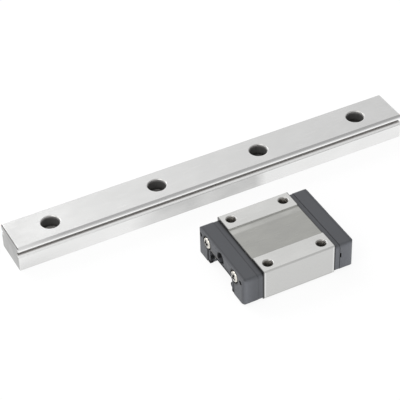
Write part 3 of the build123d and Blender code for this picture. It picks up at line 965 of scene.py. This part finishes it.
def screwHead(made):
    # the profile runs from the bearing face up the rounded rim to the crown
    screw = capScrew
    radius, foot, rim = screw["headRadius"], screw["footChamfer"], screw["rimHeight"]
    profile = [(screw["shankRadius"], 0.0), (radius - foot, 0.0), (radius, foot), (radius, rim)]
    for step in range(1, screw["roundSteps"] + 1):
        angle = step / screw["roundSteps"] * math.pi / 2
        inset = screw["roundWidth"] * (1 - math.cos(angle))
        profile.append((radius - inset, rim + screw["roundHeight"] * math.sin(angle)))
    crownRadius, crownFoot = profile[-1]
    for step in range(1, screw["crownSteps"] + 1):
        share = step / screw["crownSteps"]
        rise = (screw["headHeight"] - crownFoot) * (1 - (1 - share) ** 2)
        profile.append((crownRadius * (1 - share), crownFoot + rise))
    rings = [ringOf(made, r, z, screw["headSides"] if r > 0 else 1) for r, z in profile]
    for low, high in zip(rings, rings[1:]):
        joinRings(made, low, high)
    made.faces.new(list(reversed(rings[0])))


def crossCutter(made):
    # two crossed wedges that narrow towards the recess's floor
    screw = capScrew
    heights = (screw["headHeight"] - screw["crossDepth"], screw["headHeight"] + screw["crossOver"])
    for turned in (False, True):
        corners = []
        for z, taper in zip(heights, screw["crossTaper"]):
            wide, reach = screw["crossWidth"] / 2 * taper, screw["crossReach"] * taper
            for x, y in ((-reach, -wide), (reach, -wide), (reach, wide), (-reach, wide)):
                corners.append(made.verts.new((-y, x, z) if turned else (x, y, z)))
        made.faces.new(corners[3::-1])
        made.faces.new(corners[4:])
        joinRings(made, corners[:4], corners[4:])


def screwShank(made):
    screw = capScrew
    steps, pitch, neck, length = screw["steps"], screw["pitch"], screw["neck"], screw["length"]
    root, shank = screw["rootRadius"], screw["shankRadius"]
    count = int((length - neck - screw["tip"]) / pitch * steps)
    rows = []
    for along, height in screw["profile"]:
        row = []
        for i in range(count + 1):
            angle = 2 * math.pi * i / steps
            fade = min(1.0, i / screw["runIn"], (count - i) / screw["runOut"])
            radius = root + (shank - root) * height * fade
            depth = -neck - pitch * (i / steps + along)
            row.append(made.verts.new((radius * math.cos(angle), radius * math.sin(angle), depth)))
        rows.append(row)
    joinHelix(made, rows, steps)
    neckFoot = (root * screw["neckShare"], -neck - pitch * screw["neckPitches"])
    neckLevels = (neckFoot, (shank, -neck), (shank, screw["neckOver"]))
    tipLevels = ((0.0, -length), (screw["tipRadius"], -length), (root, -length + screw["tipChamfer"]),
                 (root * screw["coreShare"], -neck))
    for levels in (neckLevels, tipLevels):
        rings = [ringOf(made, r, z, screw["shankSides"]) for r, z in levels]
        for low, high in zip(rings, rings[1:]):
            joinRings(made, low, high)
    bmesh.ops.remove_doubles(made, verts=made.verts, dist=mergeDistance)


def makeScrewMesh():
    head = placed("head", builtMesh("head", screwHead))
    cutter = placed("cutter", builtMesh("cutter", crossCutter))
    shank = placed("shank", builtMesh("shank", screwShank))
    cut = head.modifiers.new("recess", "BOOLEAN")
    cut.object = cutter
    cut.solver = "EXACT"
    cut.use_self = True
    soften = head.modifiers.new("soften", "BEVEL")
    soften.width = capScrew["softenWidth"]
    soften.segments = 2
    soften.limit_method = "ANGLE"
    soften.angle_limit = math.radians(capScrew["softenAngle"])
    bpy.context.view_layer.update()
    shaped = bpy.data.meshes.new_from_object(head.evaluated_get(bpy.context.evaluated_depsgraph_get()))
    joined = bmesh.new()
    joined.from_mesh(shaped)
    joined.from_mesh(shank.data)
    for face in joined.faces:
        face.smooth = True
    for edge in joined.edges:
        if len(edge.link_faces) == 2 and edge.calc_face_angle() > math.radians(capScrew["creaseAngle"]):
            edge.smooth = False
    mesh = bpy.data.meshes.new("capScrewMesh")
    joined.to_mesh(mesh)
    joined.free()
    for loose in (head, cutter, shank):
        bpy.data.objects.remove(loose)
    mesh.materials.append(headSteel)
    return mesh


screwMesh = makeScrewMesh()
for place, turn in capScrew["turns"].items():
    low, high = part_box(place + "_cap_screw")
    side = 1 if place.startswith("right") else -1
    crown = high[0] if side > 0 else low[0]
    seat = Vector((crown - side * capScrew["headHeight"], (low[1] + high[1]) / 2, (low[2] + high[2]) / 2))
    piece = placed(place + "_pan_screw", screwMesh)
    out = Vector((side, 0, 0)).to_track_quat("Z", "Y").to_matrix().to_4x4()
    piece.matrix_world = Matrix.Translation(seat) @ out @ Matrix.Rotation(math.radians(turn), 4, "Z")
    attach(piece, "carriage")
    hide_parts(place + "_cap_screw")
print("four cap screws set")


# smooth balls in place of the faceted ones, centred on the solids
balls = {"radius": 2.381 * mm / 2, "shownCuts": 3, "hiddenCuts": 2}


def ballCentres(node):
    # the middle of each separate solid of the node, in the same order each time
    source = bmesh.new()
    source.from_mesh(nodes[node].data)
    bmesh.ops.remove_doubles(source, verts=source.verts, dist=mergeDistance)
    waiting, centres = dict.fromkeys(source.verts), []
    while waiting:
        front = [waiting.popitem()[0]]
        group = list(front)
        while front:
            for edge in front.pop().link_edges:
                for vert in edge.verts:
                    if vert in waiting:
                        del waiting[vert]
                        front.append(vert)
                        group.append(vert)
        centres.append(sum((v.co for v in group), Vector()) / len(group))
    source.free()
    return sorted(centres, key=lambda c: (round(c.x, 5), round(c.y, 5)))


for side in ("far", "near"):
    for row, cuts in (("loaded", balls["shownCuts"]), ("return", balls["hiddenCuts"])):
        node = side + "_" + row + "_balls"
        centres = ballCentres(node)

        def rowOfBalls(made, centres=centres, cuts=cuts):
            for centre in centres:
                spot = Matrix.Translation(centre)
                bmesh.ops.create_icosphere(made, subdivisions=cuts, radius=balls["radius"], matrix=spot)

        piece = smoothPiece(side + "_" + row + "_steel_balls", ballSteel, rowOfBalls)
        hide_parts(node)
        print(node, len(centres), "balls")


# the retainers as round wire with bent ends
retainer = {"wire": 0.6 * mm, "bend": 0.7 * mm, "bendSteps": 8}


def retainerWire(side):
    low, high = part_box(side + "_ball_retainer")
    half, bend, steps = retainer["wire"] / 2, retainer["bend"], retainer["bendSteps"]
    outward = 1 if side == "far" else -1
    inner = low[1] + half if side == "far" else high[1] - half
    outer = high[1] if side == "far" else low[1]
    z = (low[2] + high[2]) / 2
    left, right = low[0] + half, high[0] - half
    path = [Vector((left, outer, z))]
    for middle, start in ((left + bend, math.pi), (right - bend, 1.5 * math.pi)):
        centre = Vector((middle, inner + outward * bend, z))
        for step in range(steps + 1):
            angle = start + step / steps * math.pi / 2
            path.append(centre + bend * Vector((math.cos(angle), outward * math.sin(angle), 0)))
    path.append(Vector((right, outer, z)))
    curve = bpy.data.curves.new(side + "_retainer_wire", "CURVE")
    curve.dimensions = "3D"
    curve.bevel_depth = half
    curve.bevel_resolution = 4
    curve.use_fill_caps = True
    line = curve.splines.new("POLY")
    line.points.add(len(path) - 1)
    for point, spot in zip(line.points, path):
        point.co = (*spot, 1.0)
    shape = bpy.data.objects.new(curve.name, curve)
    mesh = bpy.data.meshes.new_from_object(shape)
    bpy.data.objects.remove(shape)
    for polygon in mesh.polygons:
        polygon.use_smooth = True
    mesh.materials.clear()
    mesh.materials.append(screwSteel)
    piece = carriagePiece(side + "_retainer_wire", mesh)
    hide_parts(side + "_ball_retainer")


for side in ("far", "near"):
    retainerWire(side)
print("two retainer wires bent")


# floor, light and camera
studio = {
    "floorSize": 3.0,
    "floorDrop": 0.02 * mm,
    "floorColour": (0.93, 0.93, 0.93),
    "floorRoughness": 0.9,
    "floorGloss": 0.2,
    "floorWhiteInCamera": 0.88,             # share of plain white, the rest keeps the shadow
    "floorWhiteInGloss": 0.86,
    # the room's brightness, and between which parts of the direction it changes
    "worldFront": 0.92,
    "worldBack": 0.90,
    "worldFrontBack": (-0.5, 0.5),
    "worldLeft": 1.15,                      # how much brighter the left of the room is
    "worldRight": 0.78,
    "worldLeftRight": (0.15, 0.50),
    "worldAbove": 0.80,
    "worldAboveFrom": (0.70, 0.85),
    "softbox": {"place": (-0.35, 1.05, 0.95), "size": 0.9, "power": 9.0},
    "fill": {"place": (-0.9, -0.35, 0.8), "size": 0.8, "power": 4.0},
    "cameraPlace": (-0.19794, -0.39297, 0.36015),
    "cameraTurn": (50.3213, 1.4910, -27.5552),
    "cameraNear": 0.01,
    "sensor": 36.0,
    "lens": 144.98,
}


def makeFloor():
    mesh = bpy.data.meshes.new("floor")
    half = studio["floorSize"] / 2
    corners = [(-half, -half, 0), (half, -half, 0), (half, half, 0), (-half, half, 0)]
    mesh.from_pydata(corners, [], [(0, 1, 2, 3)])
    floor = placed("floor", mesh)
    floor.location.z = -studio["floorDrop"]
    material, tree, shader = newMaterial("floorPaper")
    shader.inputs["Roughness"].default_value = studio["floorRoughness"]
    shader.inputs["Specular IOR Level"].default_value = studio["floorGloss"]
    shader.inputs["Base Color"].default_value = (*studio["floorColour"], 1.0)
    white = addNode(tree, "ShaderNodeEmission", Color=(1.0, 1.0, 1.0, 1.0), Strength=1.0)
    path = addNode(tree, "ShaderNodeLightPath")
    seen = mathNode(tree, "ADD", path.outputs["Is Camera Ray"], path.outputs["Is Transmission Ray"])
    seen = mathNode(tree, "MULTIPLY", seen, studio["floorWhiteInCamera"])
    gloss = mathNode(tree, "MULTIPLY", path.outputs["Is Glossy Ray"], studio["floorWhiteInGloss"])
    blend = addNode(tree, "ShaderNodeMixShader")
    tree.links.new(mathNode(tree, "MAXIMUM", seen, gloss), blend.inputs[0])
    tree.links.new(shader.outputs[0], blend.inputs[1])
    tree.links.new(white.outputs[0], blend.inputs[2])
    tree.links.new(blend.outputs[0], tree.nodes["Material Output"].inputs[0])
    mesh.materials.append(material)


def makeWorld():
    world = bpy.data.worlds.new("studio")
    bpy.context.scene.world = world
    world.use_nodes = True
    tree = world.node_tree
    tree.nodes.clear()
    output = addNode(tree, "ShaderNodeOutputWorld")
    sky = addNode(tree, "ShaderNodeBackground", Color=(1.0, 1.0, 1.0, 1.0))
    place = addNode(tree, "ShaderNodeTexCoord")
    split = addNode(tree, "ShaderNodeSeparateXYZ")
    tree.links.new(place.outputs["Generated"], split.inputs[0])
    x, y, z = split.outputs
    level = spread(tree, y, *studio["worldFrontBack"], studio["worldFront"], studio["worldBack"])
    across = spread(tree, x, *studio["worldLeftRight"], studio["worldLeft"], studio["worldRight"])
    above = spread(tree, z, *studio["worldAboveFrom"], 1.0, studio["worldAbove"])
    tree.links.new(allOf(tree, level, across, above), sky.inputs["Strength"])
    tree.links.new(sky.outputs[0], output.inputs[0])


def makeSoftbox(name):
    light = bpy.data.lights.new(name, "AREA")
    light.shape = "SQUARE"
    light.size = studio[name]["size"]
    light.energy = studio[name]["power"]
    lamp = placed(name, light)
    lamp.location = studio[name]["place"]
    lamp.rotation_euler = (-lamp.location).to_track_quat("-Z", "Y").to_euler()


def makeCamera():
    camera = placed("camera", bpy.data.cameras.new("camera"))
    camera.data.sensor_width = studio["sensor"]
    camera.data.lens = studio["lens"]
    camera.data.clip_start = studio["cameraNear"]
    camera.location = studio["cameraPlace"]
    camera.rotation_euler = [math.radians(angle) for angle in studio["cameraTurn"]]
    bpy.context.scene.camera = camera


makeFloor()
makeWorld()
makeSoftbox("softbox")
makeSoftbox("fill")
makeCamera()
bpy.context.scene.view_settings.view_transform = "Standard"
print("studio set")
